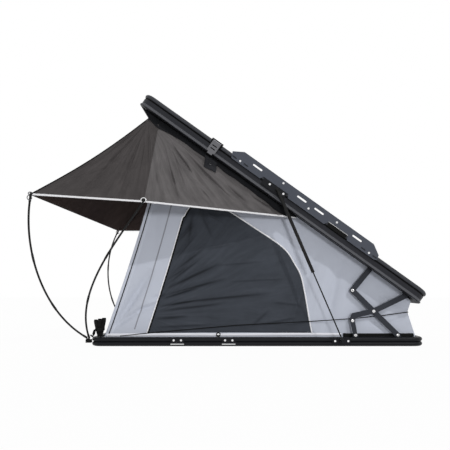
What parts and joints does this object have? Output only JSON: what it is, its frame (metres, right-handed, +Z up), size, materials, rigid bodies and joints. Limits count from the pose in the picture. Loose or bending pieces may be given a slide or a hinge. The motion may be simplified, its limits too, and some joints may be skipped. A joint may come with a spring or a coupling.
{
  "type": "roof top tent",
  "caption": "Hard-shell wedge roof top tent, shown open: a lid on scissor hinges and gas struts over a base tray, with fabric walls and a front awning on poles.",
  "frame": {"origin": "centre of the roof-bar hole pattern, on the underside of the base", "axes": "+X along the tent to the hinge end, -Y to the near side, +Z up"},
  "size_m": [2.5832, 2.3244, 1.6954],
  "materials": {
    "black_extrusion": "black textured powder coat",
    "panel": "black coated sandwich panel",
    "mattress_cover": "woven cover over foam",
    "lining": "quilted lining",
    "seal": "matte",
    "mill_aluminium": "mill finish",
    "rack_plate": "dark grey powder coat",
    "black_plastic": "moulded",
    "black_steel": "satin black",
    "bright_steel": "polished",
    "stainless": "brushed",
    "hinge_steel": "dark grey powder coat",
    "canvas": "light grey polycotton canvas",
    "window_cloth": "dark mesh",
    "awning_cloth": "coated charcoal cloth",
    "pole": "black tube",
    "webbing": "black webbing and cord"
  },
  "bodies": {
    "base": {"base_rail_near": "black_extrusion", "base_rail_far": "black_extrusion", "base_rail_front": "black_extrusion", "base_rail_rear": "black_extrusion", "base_corners": "black_extrusion", "floor_panel": "panel", "mount_strips": "mill_aluminium", "mattress": "mattress_cover", "side_brackets": "stainless", "strut_feet": "black_steel", "hinge_feet": "hinge_steel", "pole_sockets": "black_plastic", "base_bolts": "bright_steel", "closing_strap": "webbing", "wall_near": "canvas", "wall_far": "canvas", "wall_front": "canvas", "wall_rear": "canvas", "window_near": "window_cloth", "window_far": "window_cloth", "shock_cord": "webbing"},
    "lid": {"lid_rail_near": "black_extrusion", "lid_rail_far": "black_extrusion", "lid_rail_front": "black_extrusion", "lid_rail_rear": "black_extrusion", "lid_corners": "black_extrusion", "lid_panel": "panel", "lid_lining": "lining", "lid_seal": "seal", "rack_plate_near": "rack_plate", "rack_plate_far": "rack_plate", "rack_grips": "black_plastic", "strut_heads": "black_steel", "hinge_heads": "hinge_steel", "latch_bodies": "black_plastic", "lid_bolts": "bright_steel"},
    "long_arms": {"long_arm_near": "hinge_steel", "long_arm_far": "hinge_steel"},
    "cross_arms": {"cross_arm_near": "hinge_steel", "cross_arm_far": "hinge_steel"},
    "upper_links": {"upper_link_near": "hinge_steel", "upper_link_far": "hinge_steel"},
    "lower_links": {"lower_link_near": "hinge_steel", "lower_link_far": "hinge_steel"},
    "strut_rods": {"strut_rod_near": "bright_steel", "strut_rod_far": "bright_steel"},
    "strut_tubes": {"strut_tube_near": "black_steel", "strut_tube_far": "black_steel"},
    "awning_front": {"fly_front": "awning_cloth"},
    "awning_near": {"fly_side_near": "awning_cloth", "fly_gusset_near": "awning_cloth"},
    "awning_far": {"fly_side_far": "awning_cloth", "fly_gusset_far": "awning_cloth"},
    "poles_near": {"poles_near": "pole"},
    "poles_far": {"poles_far": "pole"},
    "latch_near": {"latch_hasp_near": "stainless"},
    "latch_far": {"latch_hasp_far": "stainless"}
  },
  "joints": [
    {"name": "lid_fold", "type": "hinge", "parent": "base", "child": "lid", "pos_m": [1.46608, 0, 0.25272], "axis": [0, -1, 0], "range_deg": [0, 35.5], "stiffness_Nm_per_rad": 330, "springref_deg": -137.51, "deforming": ["wall_near", "wall_far", "wall_front", "wall_rear", "window_near", "window_far", "shock_cord", "closing_strap", "fly_side_near", "fly_side_far", "fly_gusset_near", "fly_gusset_far", "fly_front", "poles_near", "poles_far"]},
    {"name": "long_arm_turn", "type": "hinge", "parent": "base", "child": "long_arms", "pos_m": [0.9565, 0, 0.07], "axis": [0, -1, 0], "range_deg": [0, 44.92]},
    {"name": "cross_arm_turn", "type": "hinge", "parent": "long_arms", "child": "cross_arms", "pos_m": [0.79114, 0, 0.23348], "axis": [0, -1, 0], "range_deg": [-79.51, 0]},
    {"name": "lower_link_turn", "type": "hinge", "parent": "base", "child": "lower_links", "pos_m": [0.6655, 0, 0.07], "axis": [0, -1, 0], "range_deg": [0, 62.97]},
    {"name": "upper_link_turn", "type": "hinge", "parent": "lid", "child": "upper_links", "pos_m": [0.79128, 0, 0.54842], "axis": [0, -1, 0], "range_deg": [-77.64, 0]},
    {"name": "strut_swing", "type": "hinge", "parent": "base", "child": "strut_rods", "pos_m": [0.565, 0, 0.04], "axis": [0, -1, 0], "range_deg": [0, 59.51]},
    {"name": "strut_stroke", "type": "slide", "parent": "strut_rods", "child": "strut_tubes", "axis": [-0.3968, 0, 0.9179], "range_m": [-0.4443, 0]},
    {"name": "awning_front_fold", "type": "hinge", "parent": "lid", "child": "awning_front", "pos_m": [-0.73864, 0, 1.59107], "axis": [0, -1, 0], "range_deg": [0, 102.2]},
    {"name": "awning_near_fold", "type": "hinge", "parent": "lid", "child": "awning_near", "pos_m": [-0.04176, -0.668, 1.09398], "axis": [0.8141, 0, -0.5807], "range_deg": [0, 122.24]},
    {"name": "awning_far_fold", "type": "hinge", "parent": "lid", "child": "awning_far", "pos_m": [-0.04176, 0.668, 1.09398], "axis": [-0.8141, 0, 0.5807], "range_deg": [0, 122.24]},
    {"name": "pole_near_stow", "type": "hinge", "parent": "base", "child": "poles_near", "pos_m": [-1.145, -0.66, 0.05], "axis": [-0.8345, 0.3944, -0.3847], "range_deg": [0, 127.61]},
    {"name": "pole_far_stow", "type": "hinge", "parent": "base", "child": "poles_far", "pos_m": [-1.145, 0.66, 0.05], "axis": [0.8345, 0.3944, 0.3847], "range_deg": [0, 127.61]},
    {"name": "latch_near_flip", "type": "hinge", "parent": "lid", "child": "latch_near", "pos_m": [-0.26524, -0.747, 1.35412], "axis": [-0.8141, 0, 0.5807], "range_deg": [0, 110]},
    {"name": "latch_far_flip", "type": "hinge", "parent": "lid", "child": "latch_far", "pos_m": [-0.26524, 0.747, 1.35412], "axis": [0.8141, 0, -0.5807], "range_deg": [0, 110]}
  ],
  "couplings": [
    {"joint": "long_arm_turn", "follows": "lid_fold", "ratio": 1.2628},
    {"joint": "cross_arm_turn", "follows": "lid_fold", "ratio": -2.2352},
    {"joint": "lower_link_turn", "follows": "lid_fold", "ratio": 1.7701},
    {"joint": "upper_link_turn", "follows": "lid_fold", "ratio": -2.1828},
    {"joint": "strut_swing", "follows": "lid_fold", "ratio": 1.6729},
    {"joint": "strut_stroke", "follows": "lid_fold", "m_per_rad": -0.71559},
    {"joint": "awning_front_fold", "follows": "lid_fold", "ratio": 2.8732},
    {"joint": "awning_near_fold", "follows": "lid_fold", "ratio": 3.4366},
    {"joint": "awning_far_fold", "follows": "lid_fold", "ratio": 3.4366},
    {"joint": "pole_near_stow", "follows": "lid_fold", "ratio": 3.5876},
    {"joint": "pole_far_stow", "follows": "lid_fold", "ratio": 3.5876}
  ]
}
